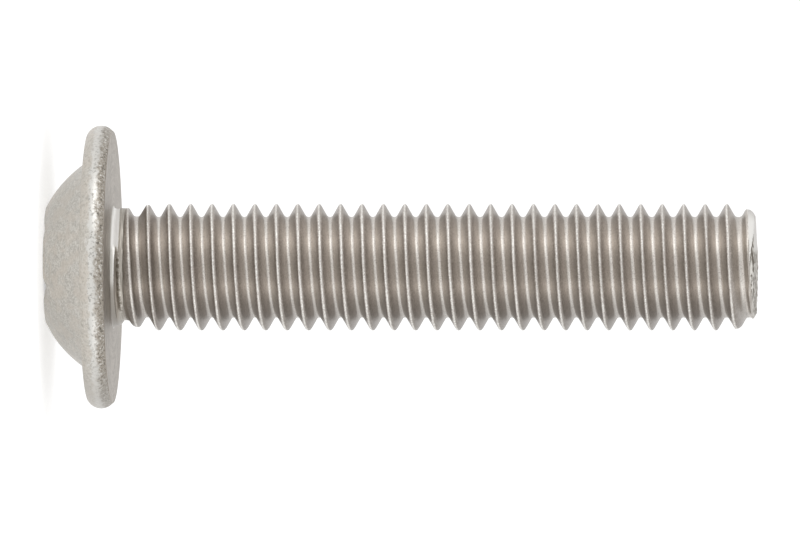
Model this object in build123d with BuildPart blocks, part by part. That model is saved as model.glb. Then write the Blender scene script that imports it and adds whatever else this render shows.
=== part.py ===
from build123d import *
from math import ceil, cos, radians, sqrt, tan
import os

# A flanged button head screw, M6 x 1 by 30 mm, threaded up to its head, in stainless steel.
# It is one piece of wire: the head and its flange are cold forged in a die, the hexagon socket
# is punched into the head, and the thread is rolled on the shank.
# Millimetres. The screw stands on the flat top of its head, which lies on z = 0. Its axis is
# +Z, so the thread points up.

# Head: a spherical dome with a flat top, on a round flange with a bulged rim
head_height = 3.19
top_diameter = 5.58
dome_radius = 5.83
flange_diameter = 13.22
flange_thickness = 1.23
rim_bulge = 0.37

# Hexagon socket, punched into the flat top, with a conical floor
socket_width = 4.0
socket_depth = 2.1
socket_floor_depth = 0.5
socket_floor_slope = 60.0
socket_mouth_depth = 0.12
socket_mouth_rim = 0.05
socket_corner_direction = 52.5

# Blank of the shank: a fillet under the head, a plain neck that swells to the full diameter of
# the thread, and a taper and a chamfer down to the cut end
shank_length = 29.92
neck_diameter = 5.42
fillet_radius = 0.25
swell_start = 0.5
swell_length = 1.3
tip_diameter = 4.60
tip_chamfer = 0.45
tip_taper_length = 0.75

# Thread: right-handed, with flanks at 60 degrees and the depth that goes with its pitch. It
# runs out on the neck. It is rolled by a flat die in so many straight sides to a turn.
thread_diameter = 5.90
thread_pitch = 1.0
flank_angle = 30.0
depth_per_triangle = 17 / 24
crest_direction = 180.0
crest_height = 0.51
runout_start = 0.2
runout_length = 0.6
sides_per_turn = 18

# What follows from these sizes: the levels of the flange and the tip, and the dome's arc
flange_top = head_height - flange_thickness
flange_middle = head_height - flange_thickness / 2
flange_face_radius = flange_diameter / 2 - rim_bulge
tip_height = head_height + shank_length
dome_centre = sqrt(dome_radius**2 - (top_diameter / 2) ** 2)
dome_foot_radius = sqrt(dome_radius**2 - (dome_centre - flange_top) ** 2)

# The shank's radii, and the handles that make a Bezier curve round off the fillet
neck_radius = neck_diameter / 2
thread_radius = thread_diameter / 2
flank_run = tan(radians(flank_angle))
thread_depth = thread_pitch / (2 * flank_run) * depth_per_triangle
root_radius = thread_radius - thread_depth
fillet_handle = fillet_radius * (1 - (sqrt(2) - 1) * 4 / 3)

# The die's distances from the axis, where its sides meet on the crest's and the root's circles.
# Each side lifts the thread by its share of the pitch, and its teeth slope by as much.
side_angle = 360 / sides_per_turn
side_rise = thread_pitch / sides_per_turn
side_cosine = cos(radians(side_angle / 2))
crest_distance = thread_radius * side_cosine
root_distance = root_radius * side_cosine
notch_depth = crest_distance - root_distance
notch_half_width = notch_depth * flank_run
tooth_slope = side_rise / (2 * crest_distance * tan(radians(side_angle / 2)))
notch_count = ceil(shank_length / thread_pitch) + 5
die_start = head_height + crest_height - 2.5 * thread_pitch
die_length = notch_count * thread_pitch

# The socket's corners, and the flat in the middle of its floor
socket_corner_radius = socket_width / 2 / cos(radians(30))
socket_floor_radius = socket_width / 2 - socket_floor_depth * tan(radians(socket_floor_slope))

# The flat die: a long block with a notch for each crest of the thread, which leaves a tooth for
# each groove, drawn out along the slope of the thread
with BuildPart() as die:
    with BuildSketch(Plane.XZ):
        with Locations((root_distance + thread_radius, die_start + die_length / 2)):
            Rectangle(2 * thread_radius, die_length)
        with Locations((root_distance, die_start + die_length / 2)):
            with GridLocations(1, thread_pitch, 1, notch_count):
                Polygon(
                    (0, -notch_half_width),
                    (notch_depth, 0),
                    (0, notch_half_width),
                    align=None,
                    mode=Mode.SUBTRACT,
                )
    extrude(amount=thread_diameter, dir=(0, 1, tooth_slope), both=True)

# The shank: a turned blank, into which the die presses the thread side by side, once round
with BuildPart() as shank:
    with BuildSketch(Plane.XZ):
        with BuildLine():
            Polyline(
                (0, flange_middle),
                (neck_radius, flange_middle),
                (neck_radius, head_height + swell_start),
                (thread_radius, head_height + swell_start + swell_length),
                (thread_radius, tip_height - tip_chamfer - tip_taper_length),
                (tip_diameter / 2 + tip_chamfer, tip_height - tip_chamfer),
                (tip_diameter / 2, tip_height),
                (0, tip_height),
                close=True,
            )
        make_face()
    revolve(axis=Axis.Z)
    for side in range(sides_per_turn):
        with Locations((0, 0, side * side_rise)):
            turned = (0, 0, crest_direction + side * side_angle)
            add(die.part, rotation=turned, mode=Mode.SUBTRACT, clean=False)

with BuildPart() as screw:
    # The forged head: flat top, dome, flange face, bulged rim and bearing face
    with BuildSketch(Plane.XZ):
        with BuildLine():
            top_edge = (top_diameter / 2, 0)
            dome_foot = (dome_foot_radius, flange_top)
            rim_start = (flange_face_radius, flange_top)
            rim_end = (flange_face_radius, head_height)
            Polyline(rim_end, (0, head_height), (0, 0), top_edge)
            RadiusArc(top_edge, dome_foot, -dome_radius)
            Line(dome_foot, rim_start)
            ThreePointArc(rim_start, (flange_diameter / 2, flange_middle), rim_end)
        make_face()
    revolve(axis=Axis.Z)

    # The neck: a fillet under the head, and the cone on which the thread's groove runs out
    with BuildSketch(Plane.XZ):
        with BuildLine():
            runout_end = head_height + runout_start + runout_length
            fillet_foot = (neck_radius + fillet_radius, head_height)
            fillet_top = (neck_radius, head_height + fillet_radius)
            Polyline((0, flange_middle), (neck_radius + fillet_radius, flange_middle), fillet_foot)
            Bezier(
                fillet_foot,
                (neck_radius + fillet_handle, head_height),
                (neck_radius, head_height + fillet_handle),
                fillet_top,
            )
            Polyline(fillet_top, (root_distance, runout_end), (0, runout_end), (0, flange_middle))
        make_face()
    revolve(axis=Axis.Z)

    # The shank with its rolled thread
    add(shank.part)

    # The socket: a hexagon with a shallow cone at its mouth and another for its floor
    with BuildSketch():
        RegularPolygon(socket_width / 2, 6, major_radius=False, rotation=socket_corner_direction)
    extrude(amount=socket_depth, mode=Mode.SUBTRACT)
    with Locations((0, 0, socket_mouth_depth / 2)):
        Cone(
            socket_corner_radius + socket_mouth_rim,
            socket_corner_radius - socket_mouth_depth,
            socket_mouth_depth,
            mode=Mode.SUBTRACT,
        )
    with Locations((0, 0, socket_depth + socket_floor_depth / 2)):
        Cone(socket_width / 2, socket_floor_radius, socket_floor_depth, mode=Mode.SUBTRACT)

screw.part.label = "screw"
os.makedirs("parts", exist_ok=True)
export_step(screw.part, "parts/screw.step")
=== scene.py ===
import math

import bpy
import numpy as np
from mathutils import Matrix, Vector


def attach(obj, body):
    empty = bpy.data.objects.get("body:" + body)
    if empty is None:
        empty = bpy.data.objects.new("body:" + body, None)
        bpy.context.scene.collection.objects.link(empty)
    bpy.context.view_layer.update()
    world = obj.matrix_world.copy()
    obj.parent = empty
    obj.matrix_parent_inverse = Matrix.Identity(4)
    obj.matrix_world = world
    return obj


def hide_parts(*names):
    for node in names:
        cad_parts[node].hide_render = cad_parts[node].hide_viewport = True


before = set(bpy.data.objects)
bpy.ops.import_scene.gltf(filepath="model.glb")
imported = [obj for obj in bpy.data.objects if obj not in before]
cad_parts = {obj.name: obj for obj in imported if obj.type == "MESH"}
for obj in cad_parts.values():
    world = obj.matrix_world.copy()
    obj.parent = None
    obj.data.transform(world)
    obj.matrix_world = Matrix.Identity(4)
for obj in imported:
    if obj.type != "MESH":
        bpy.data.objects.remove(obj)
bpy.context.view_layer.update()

# The blank: one length of stainless wire, stood on the flat top of its forged head. All its
# surfaces run round the axis in the same columns, so that they close into one skin. Sizes are
# in millimetres, and tables of azimuths in degrees.
COLUMNS = 144
HEAD_HEIGHT = 3.19
SHANK_LENGTH = 29.92
NECK_RADIUS = 2.71
azimuth = np.arange(COLUMNS) * 2 * np.pi / COLUMNS

# The neck: plain wire between the head and the thread, which meets the head in an elliptical
# fillet and stands a little off the thread's axis. The head's rows end and the thread's begin
# at its ring. The shank's heights are above the plain solid's bearing face.
FILLET_FOOT = -0.08
FILLET_HEIGHT = 0.25
FILLET_WIDTH = 0.14
NECK_RING = 0.04
NECK_SHIFT = -0.03
NECK_SHIFTED_FROM = 0.3
NECK_SHIFTED_TO = 0.8
NECK_STRAIGHT_FROM = 1.6


def smooth_step(value, start, end):
    """0 up to the start, 1 from the end on, and between them a cubic with level ends."""
    part = np.clip((value - start) / (end - start), 0, 1)
    return part * part * (3 - 2 * part)


def fillet_radius(height):
    """Radius of the fillet between the bearing face and the neck: a quarter of an ellipse."""
    below = np.clip(FILLET_FOOT + FILLET_HEIGHT - height, 0, FILLET_HEIGHT) / FILLET_HEIGHT
    return NECK_RADIUS + FILLET_WIDTH * (1 - np.sqrt(1 - below**2))


def neck_shift(height):
    """How far the neck stands off the axis: a smooth step up from the bearing face, times
    another one down to nothing at the thread's first turns."""
    shift = NECK_SHIFT * smooth_step(height, 0, NECK_SHIFTED_FROM)
    return shift * smooth_step(-height, -NECK_STRAIGHT_FROM, -NECK_SHIFTED_TO)


# The flange: a round collar, cold forged in a die with the head. Its rim bulges and is a little
# uneven, and its bearing face is set back by a tenth of a millimetre. Points are given by
# their radius and their height above the head's flat top.
FLANGE_TOP = 1.96
FLANGE_FACE_RADIUS = 6.24
FLANGE_SHIFT = -0.005
BEARING_EDGE = (6.33, 3.088)
RIM_CENTRE = (5.925, 2.534)
RIM_ARC = 0.675
RIM_UNEVEN = 0.005
RIM_UNEVEN_FROM = 0.55
RIM_UNEVEN_SPAN = 0.2
RIM_WAVES = {"seed": 3, "count": 8, "longest": 2.4, "shortest": 0.6}
FILLET_ROWS = 5
BEARING_ROWS = 11
RIM_ROWS = 28


def waves(along, across, seed, count, longest, shortest):
    """Smooth unevenness about 0: a sum of sine waves over two lengths, each with its own
    direction, phase and wavelength, drawn from a seeded generator."""
    draw = np.random.default_rng(seed)
    total = np.zeros(np.broadcast(along, across).shape)
    for length in np.geomspace(longest, shortest, count):
        turn, phase = draw.uniform(0, 2 * np.pi, 2)
        step = (along * np.cos(turn) + across * np.sin(turn)) * 2 * np.pi / length
        total = total + np.sin(step + phase)
    return total / np.sqrt(count)


def rough_waves(along, across, made_of):
    """Unevenness about 1: 1 and the waves that it is made of, held between 0 and 2."""
    return np.clip(1 + waves(along, across, **made_of), 0, 2)


def steps(count, first=0, last=1):
    """A column of values that go from one to another in equal steps, without the first."""
    return np.linspace(first, last, count + 1)[1:, None]


def bearing_rows():
    """Radius, height and sideways shift of the fillet's foot, in rows that crowd as a square
    does, and of the bearing face, a very flat cone from there to the rim."""
    rise = FILLET_FOOT + (NECK_RING - FILLET_FOOT) * (1 - steps(FILLET_ROWS)) ** 2
    face = steps(BEARING_ROWS)
    inner, inner_z = NECK_RADIUS + FILLET_WIDTH, HEAD_HEIGHT + FILLET_FOOT
    face_r = inner + (BEARING_EDGE[0] - inner) * face
    face_z = inner_z + (BEARING_EDGE[1] - inner_z) * face
    return [
        (fillet_radius(rise), HEAD_HEIGHT + rise, 0 * rise),
        (face_r, face_z, FLANGE_SHIFT * face),
    ]


def rim_rows():
    """Radius, height and sideways shift of the rim: an arc from the bearing face down to the
    flange's top, less seeded roughness that fades out where the arc turns inwards."""
    above = math.atan2(BEARING_EDGE[1] - RIM_CENTRE[1], BEARING_EDGE[0] - RIM_CENTRE[0])
    below = math.atan2(FLANGE_TOP - RIM_CENTRE[1], FLANGE_FACE_RADIUS - RIM_CENTRE[0])
    sweep = steps(RIM_ROWS, above, below)
    rim_z = RIM_CENTRE[1] + RIM_ARC * np.sin(sweep)
    fade = np.clip((np.cos(sweep) - RIM_UNEVEN_FROM) / RIM_UNEVEN_SPAN, 0, 1)
    along = azimuth[None, :] * FLANGE_FACE_RADIUS
    worn = RIM_UNEVEN * fade * rough_waves(along, rim_z, RIM_WAVES)
    rim_r = RIM_CENTRE[0] + RIM_ARC * np.cos(sweep) - worn
    return [(rim_r, rim_z, FLANGE_SHIFT + 0 * sweep)]


# The head: a dome with a flat top, cold forged in one piece with the flange, on which it sits a
# little off the shank's axis.
TOP_RADIUS = 2.79
DOME_RADIUS = 5.83
DOME_SHIFT = -0.07
MOUTH_RADIUS = 2.36
FLANGE_TOP_ROWS = 5
DOME_ROWS = 35
FLAT_TOP_ROWS = 7


def dome_rows():
    """Radius, height and sideways shift of the flange's flat top, the dome, which is an arc
    about a point on its axis, and the head's flat top up to the socket's mouth."""
    dome_centre = math.sqrt(DOME_RADIUS**2 - TOP_RADIUS**2)
    foot = math.sqrt(DOME_RADIUS**2 - (dome_centre - FLANGE_TOP) ** 2)
    across = steps(FLANGE_TOP_ROWS)
    across_r = FLANGE_FACE_RADIUS + (foot - FLANGE_FACE_RADIUS) * across
    across_shift = FLANGE_SHIFT + (DOME_SHIFT - FLANGE_SHIFT) * across
    lean = steps(DOME_ROWS, math.asin(foot / DOME_RADIUS), math.asin(TOP_RADIUS / DOME_RADIUS))
    dome_z = dome_centre - DOME_RADIUS * np.cos(lean)
    flat = steps(FLAT_TOP_ROWS)
    return [
        (across_r, FLANGE_TOP + 0 * across, across_shift),
        (DOME_RADIUS * np.sin(lean), dome_z, DOME_SHIFT + 0 * lean),
        (TOP_RADIUS + (MOUTH_RADIUS - TOP_RADIUS) * flat, 0 * flat, DOME_SHIFT + 0 * flat),
    ]


# The socket: a hexagon punched into the flat top, with a cone at its mouth and another for its
# floor. The punch has drawn the rim of the flat top down at each corner, by the depths given.
SOCKET_APOTHEM = 2.0
SOCKET_DEPTH = 2.1
SOCKET_FLOOR_DEPTH = 0.5
SOCKET_FLOOR_SLOPE = math.radians(60)
SOCKET_CORNER = 52.5
SOCKET_SIDES = 6
SIDE_TURN = 360 / SOCKET_SIDES
MOUTH_FOOT_RADIUS = 2.19
MOUTH_DEPTH = 0.12
SINK_DEPTH = (0.09, 0.06, 0.11, 0.07, 0.165, 0.07)
SINK_WIDTH = (0.38, 0.34, 0.40, 0.34, 0.36, 0.36)
SINK_RADIUS = 2.7
SINK_REACH = 0.5
SINK_FADE = 0.3
MOUTH_ROWS = 4
WALL_ROWS = 9
FLOOR_ROWS = 8


def socket_rows():
    """Radius, height and sideways shift of the socket: a cone at the mouth that never comes
    inside the hexagon, a straight wall along the hexagon, and a cone for the floor."""
    from_side = np.mod(np.degrees(azimuth) - SOCKET_CORNER, SIDE_TURN) - SIDE_TURN / 2
    hexagon = SOCKET_APOTHEM / np.cos(np.radians(from_side))[None, :]
    mouth = steps(MOUTH_ROWS)
    mouth_r = np.maximum(MOUTH_RADIUS - (MOUTH_RADIUS - MOUTH_FOOT_RADIUS) * mouth, hexagon)
    wall = steps(WALL_ROWS)
    wall_z = MOUTH_DEPTH + (SOCKET_DEPTH - MOUTH_DEPTH) * wall
    floor = steps(FLOOR_ROWS + 1, 1, 0)[:-1]
    floor_reach = SOCKET_APOTHEM - SOCKET_FLOOR_DEPTH * math.tan(SOCKET_FLOOR_SLOPE)
    drop = np.clip((SOCKET_APOTHEM - hexagon * floor) / (SOCKET_APOTHEM - floor_reach), 0, 1)
    return [
        (mouth_r, MOUTH_DEPTH * mouth, DOME_SHIFT + 0 * mouth),
        (hexagon + 0 * wall, wall_z, DOME_SHIFT + 0 * wall),
        (hexagon * floor, SOCKET_DEPTH + SOCKET_FLOOR_DEPTH * drop, DOME_SHIFT + 0 * floor),
    ]


def drawn_down(radius, height):
    """How far the punch has drawn the steel down: a bell curve round the nearest corner of the
    hexagon, times one across the flat top's rim and one that fades with height."""
    corner = (np.degrees(azimuth) - SOCKET_CORNER) / SIDE_TURN
    nearest = np.mod(np.round(corner), SOCKET_SIDES).astype(int)
    from_corner = (corner - np.round(corner)) * math.radians(SIDE_TURN) * radius
    beside = from_corner / np.array(SINK_WIDTH)[nearest]
    near_top = np.exp(-((height / SINK_FADE) ** 2))
    near_rim = np.exp(-(((radius - SINK_RADIUS) / SINK_REACH) ** 2))
    return np.array(SINK_DEPTH)[nearest] * np.exp(-(beside**2)) * (near_top * near_rim)


def head_rows():
    """Radius, height and sideways shift of all the head's rings, from the fillet under it over
    its rim and its dome to the middle of the socket's floor."""
    rows = bearing_rows() + rim_rows() + dome_rows() + socket_rows()
    full = [[part * np.ones(COLUMNS) for part in row] for row in rows]
    radius, height, shift = (np.concatenate(parts) for parts in zip(*full))
    return radius, height + drawn_down(radius, height), shift


# The cut end: the wire is sheared off. It tapers over its last turn and rounds down to the cut,
# a little to one side. One side of the cut is smooth and lies lower, and the rest has torn and
# stands up rough.
END_TAPER_START = 29.5
END_TAPER_RADIUS = 2.66
END_TAPER_SLOPE = 0.42
END_ROUND_SPAN = 0.42
END_ROUND = 2.5
END_LEAN = 0.09
END_LEAN_SPAN = 0.25
CUT_DROP_SIDE = 0.06
CUT_DROP_SIDE_X = (0.5, 1.3)
CUT_DROP_BACK = 0.02
CUT_DROP_BACK_Y = (-0.3, 1.5)
TEAR_ROUGHNESS = 0.03
TEAR_X = (-1.0, -0.4)
TEAR_WAVES = {"seed": 5, "count": 9, "longest": 2.4, "shortest": 0.3}
TEAR_START = 29.70
TEAR_SPAN = 0.08
TEAR_AZIMUTH = (20, 60, 240, 262, 340)
TEAR_SHARE = (0.6, 1, 0, 1, 0.6)
TEAR_RADIUS = 2.4
TEAR_STRETCH = 1.6
TEAR_SIDE_WAVES = {"seed": 17, "count": 9, "longest": 1.1, "shortest": 0.2}
END_RINGS = 18


def blank_end(turn, height):
    """Radius of the blank near its cut end: a straight taper, from which a parabola rounds down
    to the cut, and a lean to one side that fades within a quarter of a millimetre."""
    to_end = np.maximum(SHANK_LENGTH - height, 0)
    taper = END_TAPER_RADIUS + END_TAPER_SLOPE * np.maximum(END_TAPER_START - height, 0)
    rounding = END_ROUND * np.maximum(END_ROUND_SPAN - to_end, 0) ** 2
    return taper - rounding - END_LEAN * np.cos(turn) * np.exp(-to_end / END_LEAN_SPAN)


def cut_height(x, y):
    """Height of the cut above each point across the axis: level, less a smooth step down to the
    sheared side and another to the back, less seeded roughness where the steel has torn."""
    side = CUT_DROP_SIDE * smooth_step(-x, *CUT_DROP_SIDE_X)
    back = CUT_DROP_BACK * smooth_step(y, *CUT_DROP_BACK_Y)
    rough = rough_waves(x, y, TEAR_WAVES) * smooth_step(x, *TEAR_X)
    return SHANK_LENGTH - side - back - TEAR_ROUGHNESS * rough


def torn_side(turn, height):
    """How far the torn side of the end stands in from the blank: seeded roughness that grows
    from the tear's start to the cut, on the side that has torn."""
    degrees = np.degrees(turn) + 0 * height
    torn = np.interp(degrees, TEAR_AZIMUTH, TEAR_SHARE)
    along = np.radians(degrees) * TEAR_RADIUS
    rough = rough_waves(along, height * TEAR_STRETCH, TEAR_SIDE_WAVES)
    grown = smooth_step(height, TEAR_START, TEAR_START + TEAR_SPAN)
    return TEAR_ROUGHNESS * rough * torn * grown


def end_rows(edge_radius):
    """Radius and height of the rings of the cut end, from its edge inwards, on the cut."""
    radius = edge_radius * steps(END_RINGS + 1, 1, 0)[:-1]
    return radius, cut_height(radius * np.cos(azimuth), radius * np.sin(azimuth))


# The marks of the dies: where they end on the neck, they leave a narrow recess, which starts as
# a point, a ragged lip of pushed-up steel beside it, and a fine scored line.
RECESS_AZIMUTH = (248.0, 254.0, 264.0, 290.0, 312.0, 326.0)
RECESS_DEPTH = (0.0, 0.02, 0.03, 0.035, 0.035, 0.0)
RECESS_REACH = (0.0, 0.04, 0.065, 0.085, 0.10, 0.05)
RECESS_LEAST_REACH = 0.01
RECESS_HEIGHT = 0.200
LIP_AZIMUTH = (250.0, 262.0, 270.0, 294.0, 317.0, 330.0)
LIP_HEIGHT = (0.24, 0.28, 0.30, 0.33, 0.40, 0.44)
LIP_SIZE = (0.0, 0.012, 0.016, 0.02, 0.03, 0.0)
LIP_REACH = 0.085
LIP_RAGGED = 0.35
LIP_WAVES = {"seed": 11, "count": 7, "longest": 0.9, "shortest": 0.16}
SCORE_AZIMUTH = (205.0, 225.0, 300.0, 318.0)
SCORE_SHARE = (0, 1, 1, 0)
SCORE_HEIGHT = 0.535
SCORE_DEPTH = 0.03
SCORE_REACH = 0.03


def neck_marks(turn, height):
    """How far the dies' end lifts or lowers the neck: a recess and a scored line taken off, as
    bell curves across the height, and a ragged lip put on, with seeded waves along it."""
    degrees = np.degrees(turn) + 0 * height
    reach = np.interp(degrees, RECESS_AZIMUTH, RECESS_REACH)
    reach = np.maximum(reach, RECESS_LEAST_REACH)
    depth = np.interp(degrees, RECESS_AZIMUTH, RECESS_DEPTH, left=0, right=0)
    recess = depth * np.exp(-(((height - RECESS_HEIGHT) / reach) ** 4))
    size = np.interp(degrees, LIP_AZIMUTH, LIP_SIZE, left=0, right=0)
    middle = np.interp(degrees, LIP_AZIMUTH, LIP_HEIGHT)
    along = np.radians(degrees) * NECK_RADIUS
    ragged = 1 + LIP_RAGGED * waves(along, height, **LIP_WAVES)
    lip = size * ragged * np.exp(-(((height - middle) / LIP_REACH) ** 2))
    scored = np.interp(degrees, SCORE_AZIMUTH, SCORE_SHARE, left=0, right=0)
    score = SCORE_DEPTH * scored * np.exp(-(((height - SCORE_HEIGHT) / SCORE_REACH) ** 2))
    return lip - recess - score


# The thread: M6 x 1, rolled between flat dies, which press a groove of 60 degrees into the
# shank and raise its crests. The groove starts as a point on the neck and deepens for most of
# a turn. A winding is an azimuth that goes on past 360 degrees round the next turns.
PITCH = 1.0
ROWS_PER_PITCH = 16
SPARE_TURNS = 4
FLANK_ANGLE = math.radians(60)
CREST_ARC = 0.108
ROOT_ARC = 0.148
CREST_HEIGHT = 0.51
CREST_AZIMUTH = 180.0
GROOVE_WINDING = (300.0, 325.0, 345.0, 360.0, 450.0, 540.0, 720.0, 900.0)
GROOVE_FLOOR = (2.73, 2.66, 2.56, 2.47, 2.385, 2.33, 2.33, 2.33)
NO_GROOVE = NECK_RADIUS + 0.3
WIDTH_WINDING = (360.0, 450.0, 540.0, 720.0, 900.0, 10440.0, 10620.0, 10800.0)
GROOVE_SHIFT = (0.06, 0.02, -0.01, -0.005, 0.013, 0.013, 0.06, 0.065)
GROOVE_WIDER = (0.075, 0.05, 0.035, 0.03, 0.0, 0.02, 0.05, 0.05)
SWELL_START = 0.50
SWELL_SLOPE = 0.185
SWELL_LIMIT = 3.05
CORNER_WIDTH = 0.03


def groove_side(distance):
    """Height above a groove's floor at an axial distance from its middle: an arc at the root,
    a flank at 60 degrees to the axis, and an arc over the crest, half a pitch away. The flank
    starts half of the root's arc up."""
    root_edge = ROOT_ARC * math.sin(FLANK_ANGLE)
    crest_edge = CREST_ARC * math.sin(FLANK_ANGLE)
    flank_rise = math.tan(FLANK_ANGLE)
    from_crest = PITCH / 2 - distance
    depth = PITCH / 2 * flank_rise - ROOT_ARC - CREST_ARC
    root = ROOT_ARC - np.sqrt(np.maximum(ROOT_ARC**2 - distance**2, 0))
    crest = depth - CREST_ARC + np.sqrt(np.maximum(CREST_ARC**2 - from_crest**2, 0))
    flank = ROOT_ARC / 2 + (distance - root_edge) * flank_rise
    return np.where(distance < root_edge, root, np.where(from_crest < crest_edge, crest, flank))


def softer_min(a, b, width):
    """The smaller of two radii, with the corner between them rounded over a width."""
    return (a + b - np.sqrt((a - b) ** 2 + width**2)) / 2 + width / 2


def shank_radius(turn, height):
    """Radius of the shank at an azimuth and a height above the bearing face: the blank, with
    its fillet, its swelling and its rounded end, less the groove of the thread."""
    in_turns = (height - CREST_HEIGHT) / PITCH - (np.degrees(turn) - CREST_AZIMUTH) / 360
    groove = np.round(in_turns + 0.5)
    winding = np.degrees(turn) + 360 * groove
    offset = in_turns + 0.5 - groove
    shift = np.interp(winding, WIDTH_WINDING, GROOVE_SHIFT)
    wider = np.interp(winding, WIDTH_WINDING, GROOVE_WIDER)
    from_groove = np.maximum(np.abs(offset * PITCH - shift) - wider, 0)
    floor = np.interp(winding, GROOVE_WINDING, GROOVE_FLOOR, left=NO_GROOVE)
    swell = NECK_RADIUS + SWELL_SLOPE * np.maximum(height - SWELL_START, 0)
    blank = np.minimum(np.minimum(swell, SWELL_LIMIT), blank_end(turn, height))
    cut = softer_min(floor + groove_side(from_groove), blank, CORNER_WIDTH)
    skin = np.where(height < FILLET_FOOT + FILLET_HEIGHT, fillet_radius(height), cut)
    return skin + neck_marks(turn, height)


def thread_rows():
    """Radius and height on rows that climb one pitch in each turn, so that they keep to the
    crests and the roots, and where they reach past the neck's ring or the end, at which they
    are held. Half of the spare turns lie below the thread."""
    turns = math.ceil(SHANK_LENGTH / PITCH) + SPARE_TURNS
    row = np.arange(turns * ROWS_PER_PITCH + 1)[:, None]
    start = CREST_HEIGHT - SPARE_TURNS / 2 * PITCH - CREST_AZIMUTH / 360 * PITCH
    height = start + PITCH * (row / ROWS_PER_PITCH + azimuth[None, :] / (2 * np.pi))
    low = height <= NECK_RING
    high = height >= SHANK_LENGTH
    height = np.clip(height, NECK_RING, SHANK_LENGTH)
    return shank_radius(azimuth[None, :], height), height, low, high


# The screw's skin: the rings of the head and of the cut end, and the thread's climbing rows
# between them, joined into one closed mesh in metres. It takes the place of the plain solid.
MM_PER_METRE = 1000.0
SHARP_ANGLE = math.radians(50)


def numbered(parts):
    """The numbers of these parts' points, which follow each other part by part, in the parts'
    own shapes."""
    ends = np.cumsum([part.size for part in parts])
    numbers = np.split(np.arange(ends[-1]), ends[:-1])
    return [number.reshape(part.shape) for number, part in zip(numbers, parts)]


def rings(first_row, next_row):
    """Two triangles for each cell between one ring of vertex numbers and the next."""
    a, b = first_row, np.roll(first_row, -1)
    d, c = next_row, np.roll(next_row, -1)
    return np.concatenate([np.stack([a, b, c], -1), np.stack([a, c, d], -1)])


def climbing_cells(rows):
    """Two triangles for each cell of rows that climb a pitch in each turn: where the columns
    come round, the last one joins the first one a pitch higher."""
    lower, upper = rows[:-1], rows[1:]
    a, d = lower[:-ROWS_PER_PITCH], upper[:-ROWS_PER_PITCH]
    b = np.concatenate([lower[:-ROWS_PER_PITCH, 1:], lower[ROWS_PER_PITCH:, :1]], 1)
    c = np.concatenate([upper[:-ROWS_PER_PITCH, 1:], upper[ROWS_PER_PITCH:, :1]], 1)
    return [np.stack([a, b, c], -1).reshape(-1, 3), np.stack([a, c, d], -1).reshape(-1, 3)]


def without_closed(points, faces):
    """The same mesh without triangles that have closed up to a line, or points of no face."""
    a, b, c = faces.T
    faces = faces[(a != b) & (b != c) & (a != c)]
    used = np.unique(faces)
    renumber = np.zeros(len(points), int)
    renumber[used] = np.arange(len(used))
    return points[used], renumber[faces]


def screw_skin():
    """Points and triangles of the whole screw, in millimetres. A point is its radius times its
    column's cosine and sine, and its height, moved sideways with the head or the neck, and
    held below the cut. Rows that reach past the thread's ends are held at its edge rings."""
    head_r, head_z, head_shift = head_rows()
    thread_r, thread_z, low, high = thread_rows()
    thread_r = thread_r - torn_side(azimuth[None, :], thread_z)
    neck_z, edge_z = np.full(COLUMNS, NECK_RING), np.full(COLUMNS, SHANK_LENGTH)
    neck_r = shank_radius(azimuth, neck_z)
    edge_r = shank_radius(azimuth, edge_z) - torn_side(azimuth, edge_z)
    end_r, end_z = end_rows(edge_r[None, :])
    radii = [neck_r, edge_r, head_r, end_r, thread_r]
    heights = [
        HEAD_HEIGHT + neck_z,
        HEAD_HEIGHT + edge_z,
        head_z,
        HEAD_HEIGHT + end_z,
        HEAD_HEIGHT + thread_z,
    ]
    neck, edge, head, end, thread = numbered(radii)
    radius = np.concatenate([part.ravel() for part in radii])
    height = np.concatenate([part.ravel() for part in heights])
    turn = np.tile(azimuth, len(radius) // COLUMNS)
    points = np.stack([radius * np.cos(turn), radius * np.sin(turn), height], -1)
    points[head, 0] += head_shift
    points[:, 0] += neck_shift(height - HEAD_HEIGHT)
    socket_middle = (DOME_SHIFT, 0, SOCKET_DEPTH + SOCKET_FLOOR_DEPTH)
    cut_middle = (0, 0, HEAD_HEIGHT + SHANK_LENGTH)
    points = np.concatenate([points, [socket_middle, cut_middle]])
    below_cut = HEAD_HEIGHT + cut_height(points[:, 0], points[:, 1])
    points[:, 2] = np.minimum(points[:, 2], below_cut)
    head = np.vstack([neck, head, np.full(COLUMNS, len(points) - 2)])
    end = np.vstack([edge, end, np.full(COLUMNS, len(points) - 1)])
    thread = np.where(low, neck[None, :], np.where(high, edge[None, :], thread))
    faces = [rings(further, nearer) for nearer, further in zip(head[:-1], head[1:])]
    faces += [rings(outer, inner) for outer, inner in zip(end[:-1], end[1:])]
    faces += climbing_cells(thread)
    return without_closed(points, np.concatenate(faces))


def mesh_piece(name, points, triangles):
    """A mesh object with these points and triangles, shaded smooth."""
    mesh = bpy.data.meshes.new(name)
    mesh.vertices.add(len(points))
    mesh.vertices.foreach_set("co", points.astype(np.float32).ravel())
    mesh.loops.add(triangles.size)
    mesh.loops.foreach_set("vertex_index", triangles.astype(np.int32).ravel())
    mesh.polygons.add(len(triangles))
    mesh.polygons.foreach_set("loop_start", np.arange(len(triangles), dtype=np.int32) * 3)
    mesh.polygons.foreach_set("loop_total", np.full(len(triangles), 3, np.int32))
    mesh.polygons.foreach_set("use_smooth", np.ones(len(triangles), bool))
    mesh.update()
    mesh.validate()
    piece = bpy.data.objects.new(name, mesh)
    bpy.context.scene.collection.objects.link(piece)
    return piece


points, triangles = screw_skin()
button_screw = mesh_piece("button_screw", points / MM_PER_METRE, triangles)
button_screw.data.set_sharp_from_angle(angle=SHARP_ANGLE)

# The finish: bare stainless steel, satin on the head and burnished along the rim. Much of its
# light and shade is painted into its colour: highlights on the rim, the thread and the neck, and
# shade on the thread's flanks, in hollows and on some sides. Places around the screw go from 0
# to
# 1, anticlockwise from the negative x axis, and its climb counts the turns of the thread.


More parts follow.
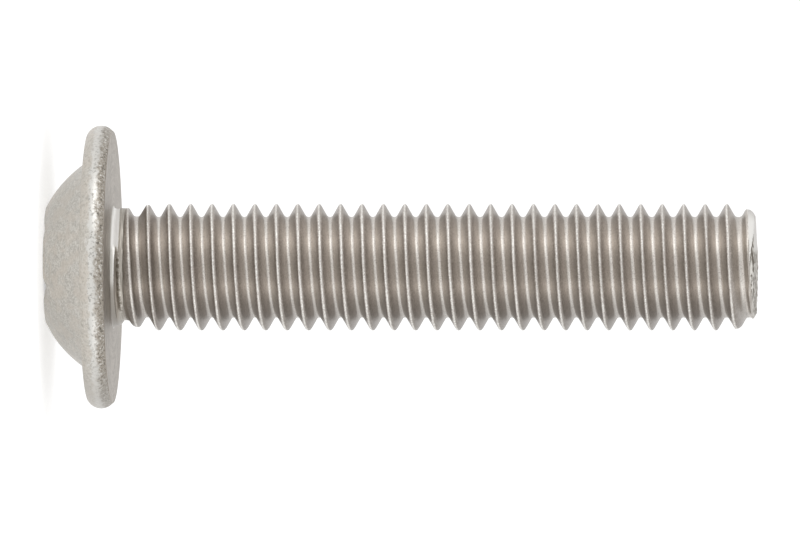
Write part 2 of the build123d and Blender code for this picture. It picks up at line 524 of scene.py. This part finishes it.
class Socket:
    """A node's output, with the arithmetic that a finish needs written as Python."""

    def __init__(self, tree, link):
        self.tree = tree
        self.link = link

    def math(self, operation, *others):
        return add_node(self.tree, "ShaderNodeMath", {"operation": operation}, [self, *others])

    def __add__(self, other):
        return self.math("ADD", other)

    def __sub__(self, other):
        return self.math("SUBTRACT", other)

    def __rsub__(self, other):
        return add_node(self.tree, "ShaderNodeMath", {"operation": "SUBTRACT"}, [other, self])

    def __mul__(self, other):
        return self.math("MULTIPLY", other)

    def __truediv__(self, other):
        return self.math("DIVIDE", other)

    def __abs__(self):
        return self.math("ABSOLUTE")

    def rises(self, start, end):
        """0 at one value of this socket and 1 at another, with a smooth step between them."""
        limits = {"From Min": start, "From Max": end}
        settings = {"interpolation_type": "SMOOTHSTEP"}
        return add_node(self.tree, "ShaderNodeMapRange", settings, {"Value": self, **limits})

    def falls(self, start, end):
        """1 at one value of this socket and 0 at another, with a smooth step between them."""
        return 1 - self.rises(start, end)

    def band(self, start, full, ebb, end):
        """1 between the middle two values of this socket, and 0 before and after all four."""
        return self.rises(start, full) * self.falls(ebb, end)

    def swings(self, span):
        """A noise made to run about 0, over about this span."""
        return (self - 0.5) * span

    __radd__ = __add__
    __rmul__ = __mul__


def add_node(tree, kind, settings, values, output=0):
    """A node of a type, with its settings made first, then its sockets' values or links. A
    ramp's stops are (position, value or colour) pairs."""
    node = tree.nodes.new(kind)
    for key, value in settings.items():
        if key == "stops":
            for _ in value[2:]:
                node.color_ramp.elements.new(0.5)
            for stop, (position, shade) in zip(node.color_ramp.elements, value):
                stop.position = position
            for stop, (position, shade) in zip(node.color_ramp.elements, value):
                stop.color = shade if isinstance(shade, tuple) else (shade, shade, shade, 1)
        else:
            setattr(node, key, value)
    pairs = values.items() if isinstance(values, dict) else enumerate(values)
    for key, value in pairs:
        if isinstance(value, Socket):
            tree.links.new(value.link, node.inputs[key])
        else:
            node.inputs[key].default_value = value
    return Socket(tree, node.outputs[output]) if node.outputs else node


def new_material(name):
    """An empty node material and its tree."""
    material = bpy.data.materials.new(name)
    material.use_nodes = True
    material.node_tree.nodes.clear()
    return material, material.node_tree


def mixed(factor, first, second):
    """One colour where the factor is 0 and the other where it is 1."""
    settings = {"data_type": "RGBA"}
    return add_node(factor.tree, "ShaderNodeMix", settings, {0: factor, 6: first, 7: second}, 2)


def scaled(vector, factor):
    """A place or a colour times a number."""
    values = {0: vector, "Scale": factor}
    return add_node(vector.tree, "ShaderNodeVectorMath", {"operation": "SCALE"}, values)


def joined(first, second, third):
    """A place made of three numbers, the first of which is a socket."""
    return add_node(first.tree, "ShaderNodeCombineXYZ", {}, [first, second, third])


def noise(place, per_mm, detail, roughness):
    """Noise about 0.5, with so many waves to a millimetre of a place given in millimetres."""
    values = {"Vector": place, "Scale": per_mm, "Detail": detail, "Roughness": roughness}
    return add_node(place.tree, "ShaderNodeTexNoise", {}, values, "Fac")


def ramp(factor, stops):
    """A colour or a value that runs straight from stop to stop of a factor from 0 to 1."""
    return add_node(factor.tree, "ShaderNodeValToRGB", {"stops": stops}, [factor])


steel, steel_tree = new_material("bare_stainless")
in_metres = add_node(steel_tree, "ShaderNodeTexCoord", {}, {}, "Object")
place = scaled(in_metres, MM_PER_METRE)
x, y, z = (add_node(steel_tree, "ShaderNodeSeparateXYZ", {}, [place], k) for k in range(3))
from_axis = (x * x + y * y).math("SQRT")
turns = y.math("ARCTAN2", x) / (2 * math.pi)
around = turns + 0.5
height = z - HEAD_HEIGHT
climb = (height - CREST_HEIGHT) / PITCH - turns + CREST_AZIMUTH / 360

# The steel's unevenness, which all its surfaces share: a grain, a finer speckle and a coarser
# one, blotches, slow patches, and fine lines round the axis from the dies and the drawn wire.
grain = noise(place, 10.0, 4.0, 0.65)
speckle = noise(place, 22.0, 2.0, 0.7)
coarse = noise(place, 8.0, 3.0, 0.7)
blotches = noise(place, 2.4, 4.0, 0.6)
patches = noise(place, 1.5, 4.0, 0.55)
lines = noise(joined(x * 0.9, y * 0.9, z * 14.0), 1.0, 3.0, 0.6)

# The head: satin from the die, a little warmer and cooler in patches, with short scuffs and a
# fine speckle. Away from its front the dome is painted a cooler grey, as shade on its sides.
SATIN_DARK = (0.46, 0.44, 0.405, 1)
SATIN_LIGHT = (0.65, 0.635, 0.60, 1)
SATIN_WARM = (0.60, 0.555, 0.50, 1)
DOME_SIDE_SHADE = (0.46, 0.455, 0.435, 1)
SCUFF_LIGHT = (0.78, 0.765, 0.73, 1)
SCUFF_DARK = (0.40, 0.375, 0.34, 1)
HEAD_SPECKLE = (0.38, 0.36, 0.33, 1)
DOME_FRONT = ((0.13, 0.0), (0.20, 1.0), (0.30, 1.0), (0.37, 0.0))
scuffs = noise(joined(x * 2.0 + z * 2.0, y * 2.0, z * 6.0 - x * 2.0), 1.0, 4.0, 0.7)
satin = mixed(grain.rises(0.36, 0.64), SATIN_DARK, SATIN_LIGHT)
satin = mixed(patches.rises(0.44, 0.60) * 0.6, satin, SATIN_WARM)
satin = mixed(scuffs.rises(0.55, 0.66) * 0.35, satin, SCUFF_LIGHT)
satin = mixed(scuffs.falls(0.34, 0.44) * 0.35, satin, SCUFF_DARK)
# Painted shade: the dome's sides, away from its front, are mixed towards a cooler grey.
satin = mixed((1 - ramp(around, DOME_FRONT)) * 0.2, satin, DOME_SIDE_SHADE)
colour = mixed(speckle.rises(0.58, 0.70) * 0.5, satin, HEAD_SPECKLE)

# The rim: burnished by the die along its middle, and rough, pitted and darker from there to the
# bearing face, a darkness that is partly painted shade. The burnish comes and goes round the
# screw, painted brightest at the front as the lamps' highlights. Its pits are painted as dark
# specks of shade, its glints as painted highlights, and its +x side is darker as painted shade.
RIM_TOP_STEEL = (0.53, 0.49, 0.43, 1)
BURNISHED_HIGHLIGHT_STEEL = (0.63, 0.62, 0.59, 1)
ROUGH_SHADED_STEEL = (0.33, 0.295, 0.25, 1)
PIT_SHADE = (0.15, 0.14, 0.12, 1)
GLINT = (0.70, 0.69, 0.66, 1)
RIM_SIDE_SHADE = (0.38, 0.365, 0.34, 1)
RIM_RADIUS = (6.20, 6.32)
RIM_TOP_HEIGHT = (2.30, 2.42)
BURNISHED_HEIGHT = (2.36, 2.44, 2.62, 2.78)
ROUGH_HEIGHT = (2.62, 2.84)
RIM_SIDE_AROUND = (0.37, 0.43, 0.54, 0.60)
BURNISH_HIGHLIGHT_SHARE = (
    (0.0, 0.1),
    (0.10, 0.75),
    (0.16, 1.0),
    (0.34, 1.0),
    (0.40, 0.55),
    (0.5, 0.0),
    (0.6, 0.7),
    (0.9, 0.7),
    (1.0, 0.1),
)
on_rim = from_axis.rises(*RIM_RADIUS)
rim_height = z + grain.swings(0.30) + blotches.swings(0.60)
# Partly burnish, partly painted highlight: full at the front, weaker behind, little or none at
# the sides.
burnished_highlight = rim_height.band(*BURNISHED_HEIGHT) * on_rim * ramp(around, BURNISH_HIGHLIGHT_SHARE)
# Partly a rough forged skin, partly painted shade: the rim darker from its middle to the bearing
# face.
rough_shaded_rim = rim_height.rises(*ROUGH_HEIGHT) * on_rim
rim_top = on_rim * rim_height.falls(*RIM_TOP_HEIGHT)
# Painted shade: dark specks for the pits, which are only in the relief; the pits are also
# rougher.
shaded_pits = coarse.rises(0.54, 0.63) * (rough_shaded_rim * 0.9 + burnished_highlight * 0.55 + rim_top * 0.25)
# Painted highlights: bright specks as glints on the rim.
glints = coarse.falls(0.36, 0.45) * (rough_shaded_rim * 0.9 + burnished_highlight * 0.4 + rim_top * 0.2)
colour = mixed(rim_top * 0.4, colour, RIM_TOP_STEEL)
colour = mixed(burnished_highlight * 0.9, colour, BURNISHED_HIGHLIGHT_STEEL)
colour = mixed(rough_shaded_rim * 0.9, colour, ROUGH_SHADED_STEEL)
colour = mixed(shaded_pits, colour, PIT_SHADE)
colour = mixed(glints, colour, GLINT)
# Painted shade: the rim is darker on its +x side.
colour = mixed(around.band(*RIM_SIDE_AROUND) * on_rim * 0.38, colour, RIM_SIDE_SHADE)

# The bearing face: duller steel with rings left by the die, and faint flow lines where the metal
# ran outwards. Its front is painted darker, as a darker reflection, and a ring of painted shade
# runs round the fillet's foot at the front.
FACE_HEIGHT = (3.03, 3.07)
FACE_RADIUS = (2.84, 2.88)
FOOT_SHADE_RADIUS = 3.12
FOOT_SHADE_REACH = (0.10, 0.25)
FOOT_SHADE_AROUND = (0.10, 0.16, 0.30, 0.34)
RING_DARK = (0.245, 0.217, 0.185, 1)
RING_LIGHT = (0.40, 0.365, 0.325, 1)
FACE_BLOTCH = (0.41, 0.365, 0.315, 1)
FACE_HOLLOW = (0.19, 0.165, 0.14, 1)
FACE_GRAIN = (0.48, 0.44, 0.39, 1)
FACE_FRONT_SHADE = (0.17, 0.15, 0.125, 1)
FOOT_SHADE_STEEL = (0.16, 0.145, 0.125, 1)
FLOW_DARK = (0.17, 0.147, 0.124, 1)
FLOW_LIGHT = (0.45, 0.41, 0.36, 1)
FACE_FRONT = ((0.0, 0.05), (0.20, 0.05), (0.245, 1.0), (0.31, 1.0), (0.37, 0.15), (0.5, 0.05))
die_rings = noise(joined(from_axis * 7.0, x * 0.7, y * 0.7), 1.0, 3.0, 0.6)
spoke_place = joined(x / from_axis * 16.0, y / from_axis * 16.0, from_axis * 0.5)
flow_lines = noise(spoke_place, 1.0, 4.0, 0.65)
face_tone = mixed(die_rings.rises(0.42, 0.58), RING_DARK, RING_LIGHT)
face_tone = mixed(blotches.rises(0.40, 0.60) * 0.4, face_tone, FACE_BLOTCH)
face_tone = mixed(coarse.falls(0.38, 0.52) * 0.5, face_tone, FACE_HOLLOW)
face_tone = mixed(grain.rises(0.46, 0.60) * 0.45, face_tone, FACE_GRAIN)
# Painted shade: the front of the bearing face, as a darker reflection.
face_tone = mixed(ramp(around, FACE_FRONT) * 0.35, face_tone, FACE_FRONT_SHADE)
# Painted shade: a dark ring round the fillet's foot, at the front.
fillet_foot_shade = abs(from_axis - FOOT_SHADE_RADIUS).falls(*FOOT_SHADE_REACH) * around.band(*FOOT_SHADE_AROUND)
face_tone = mixed(fillet_foot_shade * 0.4, face_tone, FOOT_SHADE_STEEL)
face_tone = mixed(flow_lines.falls(0.40, 0.54) * 0.20, face_tone, FLOW_DARK)
face_tone = mixed(flow_lines.rises(0.46, 0.60) * 0.16, face_tone, FLOW_LIGHT)
on_face = z.rises(*FACE_HEIGHT) * from_axis.rises(*FACE_RADIUS)
colour = mixed(on_face, colour, face_tone)

# The thread, by its place between one crest and the next: painted highlights on the crests and
# the roots and painted shade on the flanks, and painted bands round the screw, lighter and
# darker, where the lamps' highlights fall. The crests are nicked, the last groove is darker,
# with painted shade where a lamp's highlight falls on its root, and the flank beside the cut end
# carries a painted highlight.
CREST_HIGHLIGHT = (0.86, 0.845, 0.805, 1)
FLANK_SHADE = (0.334, 0.299, 0.270, 1)
THREAD_SHADING = (
    (0.000, CREST_HIGHLIGHT),
    (0.028, CREST_HIGHLIGHT),
    (0.058, FLANK_SHADE),
    (0.130, FLANK_SHADE),
    (0.220, (0.418, 0.380, 0.348, 1)),
    (0.300, (0.525, 0.484, 0.447, 1)),
    (0.400, (0.605, 0.565, 0.522, 1)),
    (0.470, (0.638, 0.612, 0.572, 1)),
    (0.520, (0.65, 0.625, 0.58, 1)),
    (0.570, (0.648, 0.612, 0.572, 1)),
    (0.640, (0.645, 0.600, 0.560, 1)),
    (0.720, (0.497, 0.459, 0.426, 1)),
    (0.800, (0.418, 0.384, 0.354, 1)),
    (0.870, FLANK_SHADE),
    (0.942, FLANK_SHADE),
    (0.972, CREST_HIGHLIGHT),
    (1.000, CREST_HIGHLIGHT),
)
THREAD_HIGHLIGHT_BANDS = (
    (0.0, 0.66),
    (0.036, 0.70),
    (0.092, 0.84),
    (0.128, 0.93),
    (0.167, 0.93),
    (0.20, 0.84),
    (0.24, 0.81),
    (0.285, 0.83),
    (0.312, 0.92),
    (0.345, 0.77),
    (0.383, 0.67),
    (0.43, 0.62),
    (0.5, 0.63),
    (0.7, 0.66),
)
THREAD_LINE = (0.38, 0.35, 0.31, 1)
LAST_GROOVE = (0.25, 0.225, 0.195, 1)
END_FLANK = (0.58, 0.55, 0.50, 1)
END_FLANK_HIGHLIGHT = (0.85, 0.81, 0.75, 1)
FIRST_TURN = (0.52, 0.49, 0.445, 1)
THREAD_GRAIN = (0.555, 0.512, 0.477, 1)
THREAD_SPECKLE = (0.22, 0.197, 0.17, 1)
CREST_NICK = (0.36, 0.335, 0.30, 1)
WHOLE_TURNS = 100.0
FIRST_TURN_HEIGHT = (0.9, 1.4)
LAST_GROOVE_CLIMB = (29.03, 29.10, 29.65, 29.80)
HIGHLIT_ROOT_AROUND = (0.09, 0.13, 0.20, 0.25)
END_FLANK_CLIMB = (29.55, 29.65, 29.92, 29.97)
BRIGHT_END_AROUND = (0.34, 0.41)
CREST_EDGE = (0.43, 0.47)
first_turn = height.falls(*FIRST_TURN_HEIGHT)
from_crest = climb + WHOLE_TURNS + grain.swings(0.13) + speckle.swings(0.12) - first_turn * 0.065
phase = from_crest.math("FRACT")
# Painted light and shade by the thread's phase: highlights on the crests and roots, shade on the
# flanks.
thread_tone = ramp(phase, THREAD_SHADING)
thread_tone = mixed(lines.rises(0.35, 0.65) * 0.25, thread_tone, THREAD_LINE)
last_groove = climb.band(*LAST_GROOVE_CLIMB)
highlit_root = around.band(*HIGHLIT_ROOT_AROUND)
# The last groove is darker, and more so as painted shade where the -x lamp's highlight falls on
# its root.
thread_tone = mixed(last_groove * (0.08 + highlit_root * 0.17), thread_tone, LAST_GROOVE)
end_flank = climb.band(*END_FLANK_CLIMB)
# Painted highlight: the flank beside the cut end lighter, and lighter still towards the +x side.
thread_tone = mixed(end_flank * 0.55, thread_tone, END_FLANK)
end_highlight = end_flank * around.rises(*BRIGHT_END_AROUND)
thread_tone = mixed(end_highlight * 0.6, thread_tone, END_FLANK_HIGHLIGHT)
thread_tone = mixed(first_turn * 0.25, thread_tone, FIRST_TURN)
thread_tone = mixed(grain.rises(0.46, 0.58) * 0.55, thread_tone, THREAD_GRAIN)
thread_tone = mixed(speckle.falls(0.38, 0.50) * 0.50, thread_tone, THREAD_SPECKLE)
between_crests = abs(phase - 0.5).falls(*CREST_EDGE)
# Painted highlights: between the crests, the tone is scaled lighter or darker round the screw
# where the lamps' highlights fall.
highlight_band_tone = scaled(thread_tone, ramp(around, THREAD_HIGHLIGHT_BANDS) * 1.25)
thread_tone = mixed(between_crests, thread_tone, highlight_band_tone)
nicks = (1 - between_crests) * speckle.falls(0.36, 0.48) * 0.40
thread_tone = mixed(nicks, thread_tone, CREST_NICK)

# The neck: bare wire, bright where the dies have not touched it, and frosted on the -x side,
# where it is painted white as the highlight there. Painted shade darkens it from the front round
# the +x side and in the fillet. Past the edge of the bare wire the dies have rubbed it grey.
NECK_STEEL = (0.82, 0.805, 0.77, 1)
NECK_SHADE = (0.36, 0.335, 0.30, 1)
RUBBED_DARK = (0.31, 0.285, 0.25, 1)
RUBBED_LIGHT = (0.45, 0.42, 0.375, 1)
FILLET_STEEL = (0.48, 0.465, 0.43, 1)
FILLET_SHADE = (0.17, 0.15, 0.13, 1)
FROSTED_HIGHLIGHT_STEEL = (1.0, 0.99, 0.965, 1)
BARE_EDGE = ((0.0, 0.23), (0.10, 0.30), (1.0, 0.30))
THREAD_START_HEIGHT = (0.50, 0.57)
NECK_SHADE_AROUND = (0.25, 0.32, 0.70, 0.85)
FILLET_LIGHT_HEIGHT = (0.04, 0.09)
FILLET_LIGHT_AROUND = (0.25, 0.32)
FILLET_SHADE_HEIGHT = (0.12, 0.20)
FILLET_SHADE_AROUND = (0.28, 0.33, 0.55, 0.70)
FROST_HEIGHT = (-0.07, 0.03)
FROST_HIGHLIGHT_ENDS_AROUND = (0.185, 0.205)
FROST_HIGHLIGHT_STARTS_AROUND = (0.78, 0.90)
uneven_height = height + grain.swings(0.05)
bare = (uneven_height - ramp(around, BARE_EDGE)).falls(-0.02, 0.02)
# Painted shade: the neck darker from the front round the +x side.
neck_tone = mixed(around.band(*NECK_SHADE_AROUND) * 0.95, NECK_STEEL, NECK_SHADE)
rubbed_tone = mixed(lines.rises(0.40, 0.60), RUBBED_DARK, RUBBED_LIGHT)
neck_tone = mixed(bare, rubbed_tone, neck_tone)
fillet_light = height.falls(*FILLET_LIGHT_HEIGHT) * around.falls(*FILLET_LIGHT_AROUND)
neck_tone = mixed(fillet_light * 0.85, neck_tone, FILLET_STEEL)
fillet_shade = height.falls(*FILLET_SHADE_HEIGHT) * around.band(*FILLET_SHADE_AROUND)
neck_tone = mixed(fillet_shade * 0.35, neck_tone, FILLET_SHADE)
# Frosted, unmetallic steel, painted white as the highlight on the -x side.
frost_highlight_side = around.falls(*FROST_HIGHLIGHT_ENDS_AROUND) + around.rises(*FROST_HIGHLIGHT_STARTS_AROUND)
frost_and_highlight = bare * height.rises(*FROST_HEIGHT) * frost_highlight_side
neck_tone = mixed(frost_and_highlight, neck_tone, FROSTED_HIGHLIGHT_STEEL)

# The marks of the dies on the neck: a recess, painted dark below as its shade and lighter above,
# a mottled lip of pushed-up steel, and a scored line where the thread begins, painted dark as
# its shade.
RECESS_SHADE = (0.17, 0.15, 0.13, 1)
RECESS_LIGHT = (0.39, 0.355, 0.31, 1)
LIP_LIGHT = (0.56, 0.53, 0.485, 1)
LIP_DARK = (0.26, 0.235, 0.20, 1)
SCORE_SHADE = (0.14, 0.125, 0.105, 1)
RECESS_LIGHT_HEIGHT = (0.14, 0.20)
LIP_EDGE = (0.065, 0.095)
LIP_AROUND = (0.195, 0.225, 0.385, 0.41)
SCORE_EDGE = (0.015, 0.04)
SCORE_AROUND = (0.07, 0.12, 0.35, 0.40)
RECESS_SPREAD = (
    (0.0, 0.0),
    (0.188, 0.0),
    (0.206, 0.045),
    (0.235, 0.085),
    (0.30, 0.105),
    (0.33, 0.105),
    (0.385, 0.085),
    (0.415, 0.06),
    (0.43, 0.0),
)
LIP_MIDDLE = (
    (0.194, 0.24),
    (0.228, 0.28),
    (0.25, 0.30),
    (0.317, 0.33),
    (0.38, 0.40),
    (0.42, 0.44),
)
recess_reach = ramp(around, RECESS_SPREAD)
in_recess = (recess_reach - abs(uneven_height - RECESS_HEIGHT)).rises(-0.012, 0.012)
in_recess = in_recess * recess_reach.rises(0.0, 0.02)
# Painted shade in the lower part of the recess, lighter above it.
recess_tone = mixed(height.rises(*RECESS_LIGHT_HEIGHT), RECESS_SHADE, RECESS_LIGHT)
neck_tone = mixed(in_recess, neck_tone, recess_tone)
from_lip = abs(height - ramp(around, LIP_MIDDLE) + coarse.swings(0.08))
on_lip = from_lip.falls(*LIP_EDGE) * around.band(*LIP_AROUND)
lip_tone = mixed(coarse.rises(0.40, 0.56), LIP_LIGHT, LIP_DARK)
neck_tone = mixed(on_lip, neck_tone, lip_tone)
shank_tone = mixed(height.rises(*THREAD_START_HEIGHT), neck_tone, thread_tone)
# Painted shade: a dark line along the scored line.
scored = abs(height - SCORE_HEIGHT).falls(*SCORE_EDGE) * around.band(*SCORE_AROUND)
shank_tone = mixed(scored * 0.7, shank_tone, SCORE_SHADE)

# The cut end: bright where the wire is sheared, and torn steel elsewhere, streaked light and
# dark, with a dark line along the edge of the tear. The sheared side is painted darker towards
# -x, and the torn side towards the edge of the cut, as shade.
SHEARED_DARK = (0.50, 0.48, 0.45, 1)
SHEARED_BRIGHT = (0.82, 0.805, 0.775, 1)
TORN_DARK = (0.18, 0.16, 0.135, 1)
TORN_LIGHT = (0.76, 0.74, 0.70, 1)
TORN_SIDE_STEEL = (0.60, 0.575, 0.535, 1)
TORN_CUT_STEEL = (0.26, 0.235, 0.205, 1)
TORN_EDGE_SHADE = (0.16, 0.145, 0.12, 1)
TEAR_LINE = (0.15, 0.13, 0.105, 1)
TEAR_BASE = 29.0
TEAR_LINE_PAST = 0.02
CUT_RADIUS = (2.15, 2.30)
CUT_HEIGHT = (29.5, 29.6)
SHEARED_CLIMB = (29.97, 30.02)
SHEARED_HEIGHT = (29.3, 29.4)
SHEARED_AROUND = (0.0, 0.02)
SHEARED_BRIGHT_AROUND = (0.01, 0.11)
TORN_X = (-0.8, -0.6)
TORN_SIDE_AROUND = (0.31, 0.36)
TORN_EDGE_HEIGHT = (29.80, 29.88)
TEAR_LINE_EDGE = (0.012, 0.04)
TEAR_LINE_ENDS_AROUND = (0.22, 0.27)
TEAR_EDGE = (
    (0.0, 0.95),
    (0.03, 0.87),
    (0.13, 0.87),
    (0.174, 0.81),
    (0.20, 0.755),
    (0.25, 0.71),
    (0.33, 0.77),
    (0.42, 0.80),
    (0.6, 0.80),
    (0.7, 0.95),
)
on_cut = from_axis.falls(*CUT_RADIUS) * height.rises(*CUT_HEIGHT)
beside_cut = 1 - on_cut
from_seam = around.rises(*SHEARED_AROUND)
sheared = climb.rises(*SHEARED_CLIMB) * height.rises(*SHEARED_HEIGHT) * from_seam
sheared = sheared.math("MAXIMUM", on_cut)
# Painted shade: the sheared side darker towards -x, in the tone of the cut's sheared part.
sheared_bright = around.rises(*SHEARED_BRIGHT_AROUND) * beside_cut
sheared_tone = mixed(sheared_bright, SHEARED_DARK, SHEARED_BRIGHT)
shank_tone = mixed(sheared, shank_tone, sheared_tone)
past_tear = height - TEAR_BASE - ramp(around, TEAR_EDGE) + grain.swings(0.10)
torn_cut = (x + grain.swings(0.6)).rises(*TORN_X) * on_cut
torn = past_tear.rises(-0.01, 0.02) * beside_cut + torn_cut
tear_lines = noise(joined(x * 1.4, y * 5.0, height * 8.0 - x * 1.2), 1.0, 3.0, 0.65)
torn_tone = mixed(tear_lines.rises(0.45, 0.55), TORN_DARK, TORN_LIGHT)
torn_side_share = around.rises(*TORN_SIDE_AROUND) * beside_cut
torn_tone = mixed(torn_side_share * 0.5, torn_tone, TORN_SIDE_STEEL)
torn_tone = mixed(on_cut * 0.4, torn_tone, TORN_CUT_STEEL)
# Painted shade: the torn side darker towards the edge of the cut.
torn_edge_shade = height.rises(*TORN_EDGE_HEIGHT) * beside_cut
torn_tone = mixed(torn_edge_shade * 0.25, torn_tone, TORN_EDGE_SHADE)
shank_tone = mixed(torn, shank_tone, torn_tone)
tear_line = abs(past_tear - TEAR_LINE_PAST).falls(*TEAR_LINE_EDGE) * from_seam
tear_line = tear_line * around.falls(*TEAR_LINE_ENDS_AROUND) * beside_cut
shank_tone = mixed(tear_line * 0.7, shank_tone, TEAR_LINE)

# The whole screw: the shank's finish inside the neck's radius, and the head's outside it, satin
# on the head and smoother where the dies have rubbed it. The relief is in millimetres.
SHANK_RADIUS = (2.98, 3.04)
SHANK_HEIGHT = (-0.078, -0.068)
HEAD_ROUGHNESS = 0.42
SHANK_ROUGHNESS = 0.36
GRAIN_RELIEF = 0.004
SPECKLE_RELIEF = 0.0015
RIM_RELIEF = 0.03
TEAR_RELIEF = 0.05
LINE_RELIEF = 0.002
on_shank = from_axis.falls(*SHANK_RADIUS) * height.rises(*SHANK_HEIGHT)
colour = mixed(on_shank, colour, shank_tone)
torn_shank = torn * on_shank
dull = ramp(on_shank, ((0.0, HEAD_ROUGHNESS), (1.0, SHANK_ROUGHNESS)))
dull = dull - burnished_highlight * 0.14 + shaded_pits * 0.2 + torn_shank * 0.2
relief = grain * GRAIN_RELIEF + speckle * SPECKLE_RELIEF
relief = relief + coarse * (rough_shaded_rim + burnished_highlight * 0.4) * RIM_RELIEF
relief = relief + torn_shank * tear_lines * TEAR_RELIEF + lines * on_shank * LINE_RELIEF
bump_values = {"Height": relief, "Strength": 1.0, "Distance": 1 / MM_PER_METRE}
bump = add_node(steel_tree, "ShaderNodeBump", {}, bump_values)
metallic = 1 - frost_and_highlight * on_shank
finish = {"Base Color": colour, "Metallic": metallic, "Roughness": dull, "Normal": bump}
shade = add_node(steel_tree, "ShaderNodeBsdfPrincipled", {}, finish)
add_node(steel_tree, "ShaderNodeOutputMaterial", {}, {"Surface": shade})
button_screw.data.materials.append(steel)
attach(button_screw, "root")
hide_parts("screw")

# The table that the screw stands on: a plain white disc, seen white wherever nothing shades
# it, and from above only.
TABLE_RADIUS = 3.0
TABLE_SIDES = 96
TABLE_WHITE = (0.8, 0.8, 0.8, 1)
TABLE_GLOW = 0.5


def seen_directly(tree):
    """1 for a ray of the camera, a reflection or a refraction, and 0 for the rest."""
    camera_ray = add_node(tree, "ShaderNodeLightPath", {}, {}, "Is Camera Ray")
    glossy_ray = add_node(tree, "ShaderNodeLightPath", {}, {}, "Is Glossy Ray")
    through_ray = add_node(tree, "ShaderNodeLightPath", {}, {}, "Is Transmission Ray")
    return camera_ray.math("MAXIMUM", glossy_ray).math("MAXIMUM", through_ray)


spokes = np.arange(TABLE_SIDES)
rim_turn = spokes * 2 * np.pi / TABLE_SIDES
table_points = np.stack([np.cos(rim_turn), np.sin(rim_turn), 0 * rim_turn], -1) * TABLE_RADIUS
table_points = np.concatenate([table_points, [(0, 0, 0)]])
table_middle = np.full(TABLE_SIDES, TABLE_SIDES)
table_faces = np.stack([spokes, np.roll(spokes, -1), table_middle], -1)
table = mesh_piece("table", table_points, table_faces)
table_white, table_tree = new_material("table_white")
board = add_node(table_tree, "ShaderNodeBsdfDiffuse", {}, {"Color": TABLE_WHITE})
glow_strength = seen_directly(table_tree) * TABLE_GLOW
glow = add_node(table_tree, "ShaderNodeEmission", {}, {"Strength": glow_strength})
lit = add_node(table_tree, "ShaderNodeAddShader", {}, [board, glow])
clear = add_node(table_tree, "ShaderNodeBsdfTransparent", {}, {})
below = add_node(table_tree, "ShaderNodeNewGeometry", {}, {}, "Backfacing")
table_skin = add_node(table_tree, "ShaderNodeMixShader", {}, [below, lit, clear])
add_node(table_tree, "ShaderNodeOutputMaterial", {}, {"Surface": table_skin})
table.data.materials.append(table_white)

# The light: a white room, and two long soft lamps, one on each side of the screw, which are
# above and below it as it is seen. The room shines less than it is seen to.
ROOM_WHITE = (1, 1, 1, 1)
ROOM_LIGHT = 0.75
ROOM_SEEN = 1.0
LAMP_SIZE = (0.40, 0.50)
LAMP_AIM = (0, 0, 0.0165)
LAMPS = (("lamp_left", (-0.42, -0.28, 0.10), 1.0), ("lamp_right", (0.42, -0.28, 0.10), 0.45))
world = bpy.data.worlds.new("white_room")
bpy.context.scene.world = world
world.use_nodes = True
room_tree = world.node_tree
room_tree.nodes.clear()
brightness = ROOM_LIGHT + seen_directly(room_tree) * (ROOM_SEEN - ROOM_LIGHT)
room_values = {"Color": ROOM_WHITE, "Strength": brightness}
room = add_node(room_tree, "ShaderNodeBackground", {}, room_values)
add_node(room_tree, "ShaderNodeOutputWorld", {}, {"Surface": room})


def soft_lamp(name, place, size, strength):
    """A rectangular lamp at a place, turned to the middle of the screw, whose surface is this
    many times as bright as the room."""
    light = bpy.data.lights.new(name, "AREA")
    light.shape = "RECTANGLE"
    light.size, light.size_y = size
    light.energy = strength * math.pi * size[0] * size[1]
    lamp = bpy.data.objects.new(name, light)
    bpy.context.scene.collection.objects.link(lamp)
    lamp.location = place
    aim = Vector(LAMP_AIM) - lamp.location
    lamp.rotation_euler = aim.to_track_quat("-Z", "Y").to_euler()


for lamp_name, lamp_place, lamp_strength in LAMPS:
    soft_lamp(lamp_name, lamp_place, LAMP_SIZE, lamp_strength)

# The camera: far away, a little towards the tip, and turned on its side, so that the screw
# lies along the frame.
CAMERA_DISTANCE = 1.15
CAMERA_RISE = math.radians(3.45)
CAMERA_AIM = (-0.00003, 0, 0.01648)
FRAME_WIDTH = 800
FRAME_SCALE = 21.47
SENSOR_WIDTH = 36.0
FAR_LIMIT = 20.0
camera_data = bpy.data.cameras.new("camera")
camera_data.sensor_width = SENSOR_WIDTH
camera_data.lens = FRAME_SCALE * SENSOR_WIDTH * CAMERA_DISTANCE * MM_PER_METRE / FRAME_WIDTH
camera_data.clip_end = FAR_LIMIT
camera = bpy.data.objects.new("camera", camera_data)
bpy.context.scene.collection.objects.link(camera)
toward = Vector((0, -math.cos(CAMERA_RISE), math.sin(CAMERA_RISE)))
up = Vector((-1, 0, 0))
right = up.cross(toward)
camera_turn = Matrix((right, up, toward)).transposed().to_4x4()
camera_place = Vector(CAMERA_AIM) + toward * CAMERA_DISTANCE
camera.matrix_world = Matrix.Translation(camera_place) @ camera_turn
bpy.context.scene.camera = camera

bpy.context.scene.view_settings.view_transform = "Standard"
